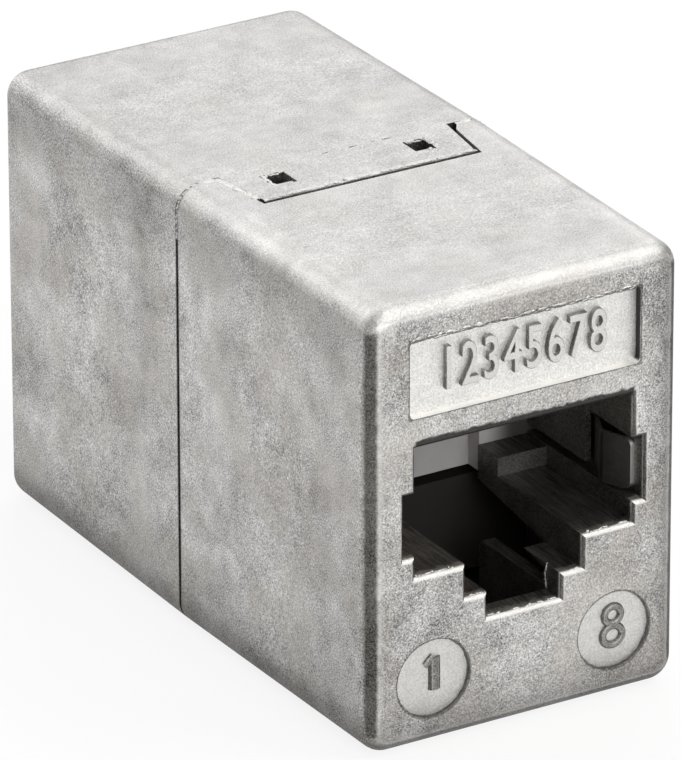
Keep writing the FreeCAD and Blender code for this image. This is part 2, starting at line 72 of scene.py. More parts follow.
back = Vector((-math.sin(AZIMUTH) * math.cos(ELEVATION),
               -math.cos(AZIMUTH) * math.cos(ELEVATION),
               math.sin(ELEVATION)))
right = (-back).cross(Vector((0, 0, 1))).normalized()
up = right.cross(-back)
eye = MIDDLE + back * DISTANCE + right * SLIDE_RIGHT + up * SLIDE_UP
turned = (right * math.cos(ROLL) + up * math.sin(ROLL), up * math.cos(ROLL) - right * math.sin(ROLL), back)

camera_data = bpy.data.cameras.new("camera")
camera_data.lens, camera_data.sensor_width = LENS, SENSOR
camera_data.clip_start, camera_data.clip_end = 0.01, 10
camera = bpy.data.objects.new("camera", camera_data)
bpy.context.scene.collection.objects.link(camera)
camera.matrix_world = Matrix.Translation(eye) @ Matrix(turned).transposed().to_4x4()
bpy.context.scene.camera = camera
bpy.context.scene.view_settings.view_transform = "Standard"
print("camera at", [round(v, 4) for v in camera.location])

# %% [markdown]
# ## A short way to write shaders
#
# A material is a net of nodes, and arithmetic between them is tedious to wire by hand. `Wire` wraps one
# output, so `1 - mask * 0.3` adds the Math nodes by itself. `Shader.node` makes any other node: its
# settings first, then what its sockets hold. Every pattern reads Object coordinates, which stay with the
# piece.

# %% Shader helper
class Wire:
    """One output socket of a material, with arithmetic."""

    def __init__(self, shader, socket):
        self.shader, self.socket = shader, socket

    def math(self, operation, *values):
        return self.shader.node("ShaderNodeMath", {"operation": operation}, dict(enumerate(values)))

    def __add__(self, other):
        return self.math("ADD", self, other)

    def __sub__(self, other):
        return self.math("SUBTRACT", self, other)

    def __rsub__(self, other):
        return self.math("SUBTRACT", other, self)

    def __mul__(self, other):
        return self.math("MULTIPLY", self, other)

    def __abs__(self):
        return self.math("ABSOLUTE", self)

    __radd__, __rmul__ = __add__, __mul__

    def largest(self, other):
        return self.math("MAXIMUM", self, other)

    def sign(self):
        return self.math("SIGN", self)


class Shader:
    """A material's node tree with a Principled shader at its end."""

    def __init__(self, name, metallic, coat=0.0):
        self.material = bpy.data.materials.new(name)
        self.material.use_nodes = True
        self.tree = self.material.node_tree
        self.surface = self.tree.nodes["Principled BSDF"]
        self.surface.inputs["Metallic"].default_value = metallic
        self.surface.inputs["Coat Weight"].default_value = coat
        self.place = self.node("ShaderNodeTexCoord", output="Object")

    def node(self, kind, settings=None, values=None, output=0):
        """Adds a node and gives the Wire of one of its outputs."""
        item = self.tree.nodes.new(kind)
        for name, setting in (settings or {}).items():
            setattr(item, name, setting)
        for name, given in (values or {}).items():
            if isinstance(given, Wire):
                self.tree.links.new(given.socket, item.inputs[name])
            else:
                item.inputs[name].default_value = given
        return Wire(self, item.outputs[output])

    def axis(self, vector, letter):
        """One coordinate of a vector."""
        return self.node("ShaderNodeSeparateXYZ", {}, {0: vector}, letter)

    def stretched(self, x, y, z):
        """The place on the piece, with each axis stretched."""
        return self.node("ShaderNodeMapping", {}, {"Vector": self.place, "Scale": (x, y, z)})

    def turned_height(self):
        """The height above the middle, the other way up in the rear half, which is the front one turned."""
        return (MIDDLE.z - self.axis(self.place, "Z")) * self.axis(self.place, "Y").sign()

    def noise(self, size, detail=3.0, roughness=0.5, place=None):
        """Noise from 0 to 1 whose lumps measure about size, in metres."""
        values = {"Vector": place or self.place, "Scale": 1 / size, "Detail": detail, "Roughness": roughness}
        return self.node("ShaderNodeTexNoise", {}, values, "Fac")

    def ramp(self, value, low, high):
        """0 at low, 1 at high, and smooth between."""
        values = {"Value": value, "From Min": low, "From Max": high}
        return self.node("ShaderNodeMapRange", {"interpolation_type": "SMOOTHSTEP"}, values, "Result")

    def mix(self, factor, first, second):
        """A colour between two colours."""
        item = self.tree.nodes.new("ShaderNodeMix")
        item.data_type = "RGBA"
        for index, given in ((0, factor), (6, first), (7, second)):
            if isinstance(given, Wire):
                self.tree.links.new(given.socket, item.inputs[index])
            else:
                item.inputs[index].default_value = given if index == 0 else (*given, 1)
        return Wire(self, item.outputs[2])

    def finish(self, color, roughness, height, depth):
        """Joins colour, roughness and bump to the surface. A height of 1 stands depth proud."""
        bump = self.node("ShaderNodeBump", {}, {"Height": height, "Distance": depth})
        for wire, name in ((color, "Base Color"), (roughness, "Roughness"), (bump, "Normal")):
            self.tree.links.new(wire.socket, self.surface.inputs[name])
        return self.material


print("helpers:", Wire.__name__, "and", Shader.__name__)

# %% [markdown]
# ## Where on the casting
#
# The halves are cast in zinc and tumbled with small stones. The stones don't reach every place alike.
# Flat faces turn matt, with a fine grain and soft clouds. On top of that the colour carries painted light:
# painted highlights on the edge on top, the port's rim and the front shoulders, and painted shade on the
# upright corners, towards the foot, in bands near the top and bottom of the sides, at the right margin of
# the face and on the edges that face down. The sunk panel and discs keep the pale, smooth skin of the die.
# The inside of the port and the gaps between the halves get painted shade, nearly black, and so do the
# panel's side walls and the lip over the port; the seam is a dark joint. A painter would brush this on by
# hand.
# Here masks do it: each is 1 in its place and 0 elsewhere. A direction close to one axis means a flat
# face, and the distance behind the port's face tells a sunk floor from the inside. Noise in a mask's
# limits makes its border ragged.

# %% Where on the casting
PORT_TOP, PORT_SIDE = 4.1 * MM, 6.0 * MM
PANEL_X, PANEL_MIDDLE, PANEL_HALF, PANEL_DEPTH = 6.3 * MM, 7.62 * MM, 1.97 * MM, 0.45 * MM
DISC_X, DISC_Z, DISC_RADIUS, DISC_DEPTH = 4.98 * MM, -7.9 * MM, 2.0 * MM, 0.2 * MM
HALF_WIDTH, FACE_Y = ((CAD_HIGH - CAD_LOW) / 2).xy


class Zinc(Shader):
    """The casting's material, with a mask for each of its places."""

    def __init__(self, name):
        super().__init__(name, metallic=1.0)
        normal = self.node("ShaderNodeNewGeometry", output="Normal")
        self.across, self.along, self.upward = (abs(self.axis(normal, letter)) for letter in "XYZ")
        self.downward = 0 - self.axis(normal, "Z")
        self.x, self.y, self.z = (self.axis(self.place, letter) for letter in "XYZ")
        self.behind = FACE_Y - abs(self.y)
        self.above_port = self.turned_height() - PORT_TOP
        self.find_faces()
        self.find_panel()
        self.find_inside()
        self.find_painted_light()

    def between(self, value, low, high, soft):
        """1 where the value lies between two limits."""
        return self.ramp(value, low - soft, low + soft) * (1 - self.ramp(value, high - soft, high + soft))

    def find_faces(self):
        """Flat faces by their direction, rounded edges, and the sunk floors of the panel and the discs."""
        facing = self.across.largest(self.along).largest(self.upward)
        self.edge = 1 - self.ramp(facing, 0.90, 0.999)
        self.corner = 1 - self.ramp(facing + 0.12 * (self.noise(0.5 * MM) - 0.5), 0.81, 0.997)
        self.level = self.ramp(self.upward, 0.35, 0.90)
        self.upright = 1 - self.ramp(self.upward, 0.06, 0.30)
        self.end = self.ramp(self.along, 0.75, 0.95)
        self.sunk = self.end * self.between(self.behind, 0.1 * MM, 0.55 * MM, 0.05 * MM)

    def find_panel(self):
        """The panel's lower ledge, and painted shade on its short side walls."""
        ledge = self.level * self.between(self.above_port, 1.2 * MM, 5.8 * MM, 0.1 * MM)
        self.recess = ledge * (1 - self.ramp(self.behind, 0.6 * MM, 0.9 * MM))
        rough_start = (0.02 + 0.1 * self.noise(0.3 * MM)) * MM
        depth = self.between(self.behind, rough_start, PANEL_DEPTH, 0.03 * MM)
        beside = self.between(abs(self.x), PANEL_X - 0.2 * MM, PANEL_X + 0.2 * MM, 0.05 * MM)
        # painted shade: the panel's short side walls are coloured near black
        self.panel_wall_shade = self.ramp(self.across, 0.6, 0.9) * depth * beside
        self.panel_wall_shade = self.panel_wall_shade * self.ramp(self.above_port, 1.2 * MM, 1.4 * MM)

    def find_inside(self):
        """Painted shade inside the port and in the gaps between the halves, the dark seam, the painted
        highlight on the port's rim and the painted shade on the lip over it.
        """
        within = self.between(self.x, -8 * MM, 8 * MM, 0.1 * MM)
        within = within * self.between(self.z - MIDDLE.z, -10.8 * MM, 10.8 * MM, 0.1 * MM)
        ragged = self.level * self.noise(0.35 * MM, detail=4.0)
        start = (0.05 + 0.42 * self.end + 0.7 * ragged) * MM
        # painted shade: the inside of the port and the faces in the gaps between the halves are darkened
        port = within * self.ramp(self.behind, start, start + 0.35 * MM)
        gap = self.end * (1 - self.ramp(abs(self.y), 4.5 * MM, 5 * MM))
        # the seam between the halves is a dark joint
        seam = self.across * (1 - self.ramp(abs(self.y), 0.1 * MM, 0.2 * MM))
        self.inside = port.largest(gap).largest(seam) * (1 - self.recess)
        # painted highlight: the rounded rim of the port is lifted to bright metal
        self.rim_highlight = within * self.edge * (1 - self.ramp(self.behind, 0.15 * MM, 0.3 * MM))
        # painted shade: a dark strip along the lip over the port, where its rounded underside turns away
        # from the light
        lip_shade_height = (0.22 + 0.4 * self.noise(0.6 * MM)) * MM
        self.lip = self.between(self.x, -PORT_SIDE, PORT_SIDE, 0.1 * MM)
        self.lip = self.lip * (1 - self.ramp(self.behind, 0.3 * MM, 0.4 * MM))
        self.lip = self.lip * self.between(self.above_port, -0.1 * MM, lip_shade_height, 0.08 * MM)

    def find_painted_light(self):
        """Painted shade towards the foot, in bands near the top and bottom of the sides, at the face's right
        margin and on edges that face down. Painted highlight on the brow and the front shoulders.
        """
        # painted shade: darker towards the foot, in bands near the top and bottom of the sides, at the right
        # margin of the face and on edges that face down
        self.foot_shade = (1 - self.ramp(self.z, 0.3 * MM, 3.4 * MM)) * (0.55 + 0.4 * self.across)
        self.eaves_shade = self.across * (1 - self.edge) * self.ramp(abs(self.z - MIDDLE.z), 6.5 * MM, 9.8 * MM)
        self.margin = self.end * self.ramp(self.x, 6.4 * MM, 8.4 * MM)
        self.under_shade = self.edge * self.ramp(self.downward, 0.05, 0.5)
        # painted highlight on the top front edge, the brow
        self.brow_highlight = self.edge * self.ramp(self.along, 0.25, 0.6) * self.ramp(self.upward, 0.25, 0.6)
        self.brow_highlight = self.brow_highlight * (1 - self.ramp(self.across, 0.1, 0.4))
        # painted highlight on the front shoulders, patchy towards the top and the sides
        patchy = 1.1 * MM * (self.noise(0.7 * MM, detail=4.0, roughness=0.6) - 0.5)
        from_top = self.ramp(CAD_HIGH.z - self.z + patchy, 0.3 * MM, 1.7 * MM)
        from_side = self.ramp(HALF_WIDTH - abs(self.x) + patchy, 0.4 * MM, 2.2 * MM)
        self.shoulder = (1 - from_top.largest(from_side)) * (1 - self.ramp(self.y, -8 * MM, 3 * MM))

    def outlines(self):
        """The fine dark lines round the discs and the panel, and painted shade on the short steps down into
        the discs.
        """
        turned_z = self.turned_height()
        from_disc = self.node("ShaderNodeCombineXYZ", {}, {0: abs(self.x) - DISC_X, 1: turned_z - DISC_Z})
        radius = self.node("ShaderNodeVectorMath", {"operation": "LENGTH"}, {0: from_disc}, "Value")
        box = (abs(self.x) - PANEL_X).largest(abs(turned_z - PANEL_MIDDLE) - PANEL_HALF)
        width = (0.16 * self.noise(0.4 * MM) - 0.03) * MM
        round_disc, round_panel = (1 - self.ramp(abs(line) - width, 0, 0.03 * MM)
                                   for line in (radius - DISC_RADIUS, box))
        # painted shade on the short step walls down into the discs
        step = (1 - self.end) * (1 - self.ramp(abs(radius - DISC_RADIUS), 0.1 * MM, 0.15 * MM))
        step = step * (1 - self.ramp(self.behind, DISC_DEPTH, DISC_DEPTH + 0.05 * MM))
        flat = self.end * round_disc.largest(round_panel * (1 - self.sunk))
        return flat.largest(step) * (1 - self.inside)


print("half width and half length in mm:", round(HALF_WIDTH / MM, 2), round(FACE_Y / MM, 2))

# %% [markdown]
# ## Tumbled zinc
#
# Now the masks choose between four metals: the matt tumbled face, bare bright metal, the skin of the die
# and the dark metal. The bare bright metal also serves as painted highlight, and the dark metal as painted
# shade. Each is a mix of two greys by noise at several sizes, from a grain as fine as the stones' marks to
# clouds of a few millimetres, because real metal varies at every size at once. One function makes the
# casting's material and its kin: darker for the figures, with painted shade on their sides, and brighter
# for fresh flash, partly as a painted highlight.

# %% Zinc
def make_zinc(name, shade=1.0, shine=0.0, hollow_shade=0.9, flank_shade=0.0):
    """Raw tumbled zinc. A lower shade darkens it all, shine makes it bare and bright like a fresh edge and
    also paints a highlight, hollow_shade is how dark the painted shade inside is, and flank_shade how dark
    the painted shade on the sides of a raised figure is."""
    zinc = Zinc(name)
    fine = zinc.noise(0.075 * MM, detail=1.0)
    grain = zinc.noise(0.11 * MM, detail=3.0, roughness=0.7)
    drag = zinc.noise(0.35 * MM, detail=4.0, place=zinc.stretched(0.35, 1.0, 1.0))
    scrape = zinc.noise(0.12 * MM, detail=2.0, place=zinc.stretched(1.0, 0.08, 1.0))
    mottle = zinc.noise(0.8 * MM, detail=4.0, roughness=0.65)
    cloud = zinc.noise(2.2 * MM, detail=5.0, roughness=0.62)
    tint = zinc.noise(3.2 * MM, detail=3.0)
    broad = zinc.noise(5 * MM, detail=2.0)

    # The matt face: the sides are rougher and warmer than the top.
    sides = 1 - zinc.level
    tone = 0.5 + (0.75 + 0.85 * sides) * (fine - 0.5) + (0.3 + 0.4 * sides) * (grain - 0.5)
    tone = tone + (0.45 + 0.3 * sides) * (cloud - 0.5) + (0.25 + 0.25 * sides) * (mottle - 0.5)
    tone = tone + 0.10 * zinc.level * (drag - 0.5) + 0.6 * sides * (broad - 0.5)
    tumbled = zinc.mix(tone, (0.13, 0.124, 0.118), (0.90, 0.895, 0.885))
    tumbled = zinc.mix(zinc.ramp(tint, 0.42, 0.62) * (0.08 + 0.27 * sides), tumbled, (0.45, 0.41, 0.365))

    # Bare metal: sparkling grains and the panel's ledge, and painted highlights on the port's rim, the brow
    # and the front shoulders.
    bright = (zinc.ramp(fine, 0.66, 0.74) * sides * 0.5).largest(zinc.rim_highlight * 0.7).largest(shine)
    bright = bright.largest(zinc.brow_highlight * (0.9 * cloud - 0.05)).largest(zinc.recess)
    bright = bright.largest(zinc.shoulder * (0.64 * cloud - 0.04))
    tumbled = zinc.mix(bright, tumbled, (0.95, 0.94, 0.92))

    # The skin of the die, a little duller in the discs than in the panel.
    skin = zinc.mix(0.5 + 1.9 * (fine - 0.5) + 0.5 * (drag - 0.5), (0.64, 0.635, 0.62), (0.97, 0.965, 0.95))
    disc = 1 - zinc.ramp(zinc.behind, 0.25 * MM, 0.35 * MM)
    skin = zinc.mix(0.28 * disc, skin, (0.40, 0.395, 0.38))
    color = zinc.mix(zinc.sunk, tumbled, skin)

    # Dark metal: the outlines, and painted shade inside, in the gaps, on the upright corners, towards the
    # foot, in the side bands, at the right margin, on edges facing down and on the figures' sides.
    scraped = tone + 2.0 * zinc.level * (scrape - 0.5) * zinc.inside
    dark = zinc.mix(scraped, (0.022, 0.02, 0.018), (0.26, 0.25, 0.235))
    # painted shade: the rounded upright corners are darkened, standing for the dark that they mirror
    corner_shade = zinc.corner * zinc.upright * (0.85 + 0.6 * grain)
    # painted shade from the foot, the side bands, the right margin and the edges that face down
    painted_shade = (zinc.eaves_shade * (0.9 * cloud - 0.2)).largest(zinc.foot_shade * sides)
    painted_shade = painted_shade.largest(zinc.margin * 0.6).largest(zinc.under_shade * 0.9)
    hidden = (zinc.inside * hollow_shade).largest(zinc.outlines() * 0.8).largest(corner_shade).largest(painted_shade)
    hidden = hidden.largest(1 - shade).largest(flank_shade * (1 - zinc.end))
    color = zinc.mix(hidden, color, dark)
    # painted shade: the lip over the port and the panel's side walls are coloured near black
    color = zinc.mix(0.92 * zinc.lip.largest(zinc.panel_wall_shade), color, (0.02, 0.017, 0.015))

    roughness = 0.50 + 0.14 * (grain - 0.5) + 0.15 * (cloud - 0.5) + 0.04 * zinc.edge
    return zinc.finish(color, roughness, fine + grain + 0.5 * drag, 0.022 * MM)


ZINC = make_zinc("zinc_casting")
# painted shade on the sides of the raised figures
DARK_ZINC = make_zinc("zinc_figures", shade=0.35, flank_shade=0.9)
ROW_ZINC = make_zinc("zinc_row", hollow_shade=0.0, flank_shade=0.7)
# the flash's bright metal is partly fresh metal and partly a painted highlight, as on the latch slot's burr
BRIGHT_ZINC = make_zinc("zinc_flash", shine=0.3, hollow_shade=0.0)
for name in ("front_shell", "rear_shell"):
    for slot in nodes[name].material_slots:
        slot.material = ZINC
print("zinc nodes:", len(ZINC.node_tree.nodes))

# %% [markdown]
# ## Raised figures
#
# The die has plain figures cut into it, so they stand up from the sunk floors of the casting: 1 and 8 in
# the discs, which tell the first contact from the last, and a row of contact numbers in the panel. The
# disc figures are soft strokes with round sides: curves with a round bevel, pressed flat. The row is a
# text object. Each is made into a mesh first and placed after that. The rear casting is the front one
# turned half a turn about the X axis, and so are its figures.

# %% Tools for pieces
HALF_TURN = Matrix.Translation(MIDDLE) @ Matrix.Rotation(math.pi, 4, "X") @ Matrix.Translation(-MIDDLE)
UPRIGHT = Matrix.Rotation(math.radians(90), 4, "X")


def on_face(x, z, depth=0.0):
    """A place on the front face, in mm from its middle and below its surface."""
    return Vector((x * MM, -FACE_Y + depth * MM, MIDDLE.z + z * MM))


def made_mesh(data, modify=None):
    """The mesh that a curve, a text or a modified mesh comes to."""
    source = bpy.data.objects.new("source", data)
    bpy.context.scene.collection.objects.link(source)
    if modify:
        modify(source)
    graph = bpy.context.evaluated_depsgraph_get()
    mesh = bpy.data.meshes.new_from_object(source.evaluated_get(graph))
    bpy.data.objects.remove(source)
    return mesh


def add_piece(name, mesh, material, turned=False):
    """A piece of a casting, from a mesh that already lies in its place on the front one."""
    mesh = mesh.copy()
    if turned:
        mesh.transform(HALF_TURN)
    mesh.materials.clear()
    mesh.materials.append(material)
    piece = bpy.data.objects.new(name, mesh)
    bpy.context.scene.collection.objects.link(piece)
    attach(piece, "root")
    return piece


def add_pair(name, mesh, material):
    """The same piece on the front and on the rear casting."""
    for end, turned in (("front", False), ("rear", True)):
        piece = add_piece(f"{end}_{name}", mesh, material, turned)
    print(name, "of", len(piece.data.polygons), "faces")


print("the rear half is turned about", [round(v / MM, 2) for v in MIDDLE], "mm")

# %% Disc figures
def stroke(paths, radius, height):
    """A soft raised stroke along paths in XY. Each path has its points, in mm, and whether it closes."""
    curve = bpy.data.curves.new("stroke", "CURVE")
    curve.dimensions, curve.bevel_depth, curve.bevel_resolution = "3D", radius * MM, 3
    curve.use_fill_caps, curve.resolution_u = True, 6
    for points, closed in paths:
        spline = curve.splines.new("NURBS")
        spline.points.add(len(points) - 1)
        spline.order_u, spline.use_cyclic_u, spline.use_endpoint_u = 3, closed, not closed
        for point, (x, y, thickness) in zip(spline.points, points):
            point.co, point.radius = (x * MM, y * MM, 0, 1), thickness
    mesh = made_mesh(curve)
    mesh.transform(Matrix.Diagonal((1, 1, height / radius, 1)))
    return mesh


def ring(y, half_width, half_height, points=10):
    """An upright oval, for a stroke."""
    turns = [math.tau * step / points for step in range(points)]
    return [(half_width * math.cos(turn), y + half_height * math.sin(turn), 1.0) for turn in turns], True


EIGHT = [ring(-0.50, 0.56, 0.52), ring(0.56, 0.47, 0.46)]
ONE = [([(0.16, -0.82, 1), (0.17, -0.3, 1.0), (0.17, 0.2, 1.0), (0.15, 0.84, 1.0)], False),
       ([(0.12, 0.86, 0.8), (-0.12, 0.66, 0.75), (-0.38, 0.48, 0.55)], False)]
FIGURE_X, FIGURE_Z, FIGURE_HEIGHT = 5.0, -7.72, 0.17
EIGHT_STROKE, ONE_STROKE = 0.2, 0.33
for name, paths, radius, side in (("eight", EIGHT, EIGHT_STROKE, 1), ("one", ONE, ONE_STROKE, -1)):
    mesh = stroke(paths, radius, FIGURE_HEIGHT)
    mesh.transform(Matrix.Translation(on_face(side * FIGURE_X, FIGURE_Z, DISC_DEPTH / MM)) @ UPRIGHT)
    add_pair("figure_" + name, mesh, DARK_ZINC)

# %% Panel figures
ROW_SIZE, ROW_THICKNESS, ROW_BEVEL, ROW_NARROWED, ROW_SUNK = 3.05, 0.13, 0.05, 0.66, 0.1
text = bpy.data.curves.new("row", "FONT")
text.body, text.size, text.space_character = "12345678", ROW_SIZE * MM, 1.16
text.align_x, text.align_y = "CENTER", "CENTER"
text.extrude, text.bevel_depth = ROW_THICKNESS * MM, ROW_BEVEL * MM
text.bevel_resolution, text.resolution_u = 2, 4
row = made_mesh(text)
row_place = on_face(0, PANEL_MIDDLE / MM, PANEL_DEPTH / MM - ROW_SUNK)
row.transform(Matrix.Translation(row_place) @ UPRIGHT @ Matrix.Diagonal((ROW_NARROWED, 1, 1, 1)))
add_pair("panel_figures", row, ROW_ZINC)

# %% [markdown]
# ## Flash
#
# Metal creeps into every seam of the die and stays as a ragged film: flash. Tumbling tears most of it off
# and leaves crumbs along the edges and in the narrow gaps. Nobody places crumbs by hand. A Geometry Nodes
# tree walks along a line and sets a small stone at every step, turned along the line, each with its own
# size.

# %% Flash tree
def make_flash_tree():
    """Sets crumbs of a given size and spacing along the edges that come in."""
    tree = bpy.data.node_groups.new("flash_crumbs", "GeometryNodeTree")
    tree.interface.new_socket("Geometry", in_out="INPUT", socket_type="NodeSocketGeometry")
    for name, kind in (("Spacing", "Float"), ("Crumb", "Vector"), ("Wander", "Float"), ("Seed", "Int"),
                       ("Material", "Material")):
        tree.interface.new_socket(name, in_out="INPUT", socket_type="NodeSocket" + kind)
    tree.interface.new_socket("Geometry", in_out="OUTPUT", socket_type="NodeSocketGeometry")

    def add(kind, settings=None, links=None, values=None):
        item = tree.nodes.new(kind)
        for name, setting in (settings or {}).items():
            setattr(item, name, setting)
        for name, value in (values or {}).items():
            item.inputs[name].default_value = value
        for name, output in (links or {}).items():
            tree.links.new(output, item.inputs[name])
        return item

    given = add("NodeGroupInput").outputs
    line = add("GeometryNodeMeshToCurve", links={"Mesh": given["Geometry"]})
    steps = add("GeometryNodeResampleCurve", {"mode": "LENGTH"},
                {"Curve": line.outputs[0], "Length": given["Spacing"]})
    drift = add("FunctionNodeRandomValue", {"data_type": "FLOAT_VECTOR"}, {"Seed": given["Seed"]},
                {0: (-1, -1, -1), 1: (1, 1, 1)})
    shift = add("ShaderNodeVectorMath", {"operation": "SCALE"},
                {0: drift.outputs[0], "Scale": given["Wander"]})
    moved = add("GeometryNodeSetPosition", links={"Geometry": steps.outputs[0], "Offset": shift.outputs[0]})
    tangent = add("GeometryNodeInputTangent")
    along = add("FunctionNodeAlignRotationToVector", {"axis": "X"}, {"Vector": tangent.outputs[0]})
    size = add("FunctionNodeRandomValue", {"data_type": "FLOAT_VECTOR"}, {"Seed": given["Seed"]},
               {0: (0.4, 0.4, 0.4), 1: (1.4, 1.4, 1.4)})
    crumb_size = add("ShaderNodeVectorMath", {"operation": "MULTIPLY"},
                     {0: size.outputs[0], 1: given["Crumb"]})
    stone = add("GeometryNodeMeshIcoSphere", values={"Radius": 0.5, "Subdivisions": 2})
    crumbs = add("GeometryNodeInstanceOnPoints",
                 links={"Points": moved.outputs[0], "Instance": stone.outputs[0],
                        "Rotation": along.outputs[0], "Scale": crumb_size.outputs[0]})
    real = add("GeometryNodeRealizeInstances", links={0: crumbs.outputs[0]})
    smooth = add("GeometryNodeSetShadeSmooth", links={0: real.outputs[0]})
    painted = add("GeometryNodeSetMaterial",
                  links={"Geometry": smooth.outputs[0], "Material": given["Material"]})
    add("NodeGroupOutput", links={0: painted.outputs[0]})
    return tree


FLASH = make_flash_tree()
print("flash tree of", len(FLASH.nodes), "nodes")

# %% One line of flash
def flash(points, spacing, crumb, wander=0.03, seed=1, closed=False):
    """Crumbs along a line of places in metres. The sizes are in mm."""
    mesh = bpy.data.meshes.new("line")
    edges = [(step, step + 1) for step in range(len(points) - 1)]
    mesh.from_pydata(points, edges + ([(len(points) - 1, 0)] if closed else []), [])

    def crumble(source):
        modifier = source.modifiers.new("flash", "NODES")
        modifier.node_group = FLASH
        values = {"Spacing": spacing * MM, "Crumb": [side * MM for side in crumb],
                  "Wander": wander * MM, "Seed": seed, "Material": BRIGHT_ZINC}
        for socket in FLASH.interface.items_tree:
            if socket.name in values:
                modifier[socket.identifier] = values[socket.name]

    return made_mesh(mesh, crumble)


def joined(meshes):
    """One mesh from several."""
    whole = bmesh.new()
    for mesh in meshes:
        whole.from_mesh(mesh)
    result = bpy.data.meshes.new("joined")
    whole.to_mesh(result)
    whole.free()
    return result


print("flash is made of", BRIGHT_ZINC.name)

# %% [markdown]
# On the port's face the crumbs follow the panel's upper edge, the discs and the lips of the opening, and
# one upright burr stands in the slot for the plug's latch, its bright metal a painted glint. Both castings
# have the same ones, as they came from one die.

# %% Flash on the ends
PORT_LEDGES = [(-5.8, -3.45, -2.5), (3.45, 5.8, -2.5), (-3.0, -2.3, -4.2), (2.3, 3.0, -4.2),
               (-1.8, 1.8, -5.5)]
LIP_DROP, LIP_DEPTH, BURR_DEPTH, RING_DEPTH, PANEL_REACH = 0.02, 0.28, 1.3, 0.03, 6.0
LIP_CRUMB, PANEL_CRUMB = (0.32, 0.24, 0.10), (0.50, 0.12, 0.20)
BURR_CRUMB, RING_CRUMB = (0.22, 0.12, 0.10), (0.22, 0.06, 0.06)


def circle(x, z, radius, points=48):
    """A ring on the front face."""
    turns = [math.tau * step / points for step in range(points)]
    return [on_face(x + radius * math.cos(turn), z + radius * math.sin(turn), RING_DEPTH) for turn in turns]


face_lines = []
for seed, (left, right, z) in enumerate(PORT_LEDGES, start=20):
    lip = [on_face(x, z - LIP_DROP, LIP_DEPTH) for x in (left, right)]
    face_lines.append(flash(lip, 0.17, LIP_CRUMB, 0.05, seed))
panel_top = (PANEL_MIDDLE + PANEL_HALF) / MM
panel_edge = [on_face(side * PANEL_REACH, panel_top, 0.02) for side in (-1, 1)]
face_lines.append(flash(panel_edge, 0.20, PANEL_CRUMB, 0.06, seed=1))
burr = [on_face(x, z, BURR_DEPTH) for x, z in ((1.99, -4.3), (1.93, -4.9), (1.99, -5.45))]
face_lines.append(flash(burr, 0.1, BURR_CRUMB))
for seed, side in ((3, -1), (4, 1)):
    disc_edge = circle(side * DISC_X / MM, DISC_Z / MM, DISC_RADIUS / MM)
    face_lines.append(flash(disc_edge, 0.35, RING_CRUMB, 0.02, seed, closed=True))
add_pair("face_flash", joined(face_lines), BRIGHT_ZINC)

# %% [markdown]
# On top the crumbs close the narrow gap on the left of the snap tongue and the seam over the rounded
# shoulders. They also stand along the tongue's tip, behind it and round its two windows. What the block
# stands on has rubbed the underside clean, so its tongue has none.

# %% Flash on top
TIP_X, TIP_Y, TIP_GAP, ROOT_X = 5.8, -3.4, 0.13, 6.3
WINDOW_X, WINDOW_FRONT, WINDOW_BACK = 3.97, -2.2, -0.8
SHOULDER, SHOULDER_SUNK, SEAM_DROP = 1.25, 0.11, 1.3


def on_top(x, y, depth=0.0):
    """A place on the top, in mm from its middle and below its surface."""
    return Vector((x * MM, y * MM, CAD_HIGH.z - depth * MM))


def shoulder(side):
    """The seam over one rounded shoulder, from the flat top to a little way down the side."""
    turns = [math.radians(15 * step) for step in range(7)]
    middle_x, radius = HALF_WIDTH / MM - SHOULDER, SHOULDER - SHOULDER_SUNK
    arc = [on_top(side * (middle_x + radius * math.sin(turn)), 0, SHOULDER - radius * math.cos(turn))
           for turn in turns]
    return arc + [on_top(side * (middle_x + radius), 0, SHOULDER + SEAM_DROP)]


left_gap = [on_top(-7.4, 0, 0.03), on_top(-ROOT_X - 0.2, -0.1, 0.03),
            on_top(-TIP_X - 0.14, TIP_Y + 0.4, 0.03)]
right_gap = [on_top(6.9, 0, 0.03), on_top(7.4, 0, 0.03)]
tip = [on_top(-TIP_X + 0.3, TIP_Y + TIP_GAP, 0.02), on_top(TIP_X - 0.1, TIP_Y + TIP_GAP, 0.02)]
behind_tongue = [on_top(-1.2, 0.05), on_top(3.4, 0.05)]
left_window = [on_top(-WINDOW_X - 0.5, WINDOW_FRONT, 0.05), on_top(-WINDOW_X - 0.5, WINDOW_BACK, 0.05),
               on_top(-WINDOW_X + 0.5, WINDOW_BACK, 0.05)]
right_window = [on_top(WINDOW_X - 0.5, WINDOW_BACK, 0.06), on_top(WINDOW_X + 0.6, WINDOW_BACK, 0.06),
                on_top(WINDOW_X + 0.6, WINDOW_FRONT, 0.05), on_top(WINDOW_X - 0.1, WINDOW_FRONT, 0.05)]
tongue_flash = joined([
    flash(left_gap, 0.09, (0.45, 0.42, 0.07), 0.01, seed=5),
    flash(shoulder(-1), 0.055, (0.26, 0.26, 0.26), 0.01, seed=6),
    flash(right_gap, 0.09, (0.40, 0.36, 0.07), 0.01, seed=7),
    flash(shoulder(1), 0.055, (0.26, 0.26, 0.26), 0.01, seed=8),
    flash(tip, 0.13, (0.60, 0.26, 0.10), 0.02, seed=9),
    flash(behind_tongue, 0.24, (0.45, 0.09, 0.05), 0.03, seed=10),
    flash(left_window, 0.09, (0.30, 0.30, 0.10), 0.03, seed=11),
    flash(right_window, 0.09, (0.28, 0.24, 0.10), 0.03, seed=12)])
add_piece("front_tongue_flash", tongue_flash, BRIGHT_ZINC)
print("tongue_flash of", len(tongue_flash.polygons), "faces")

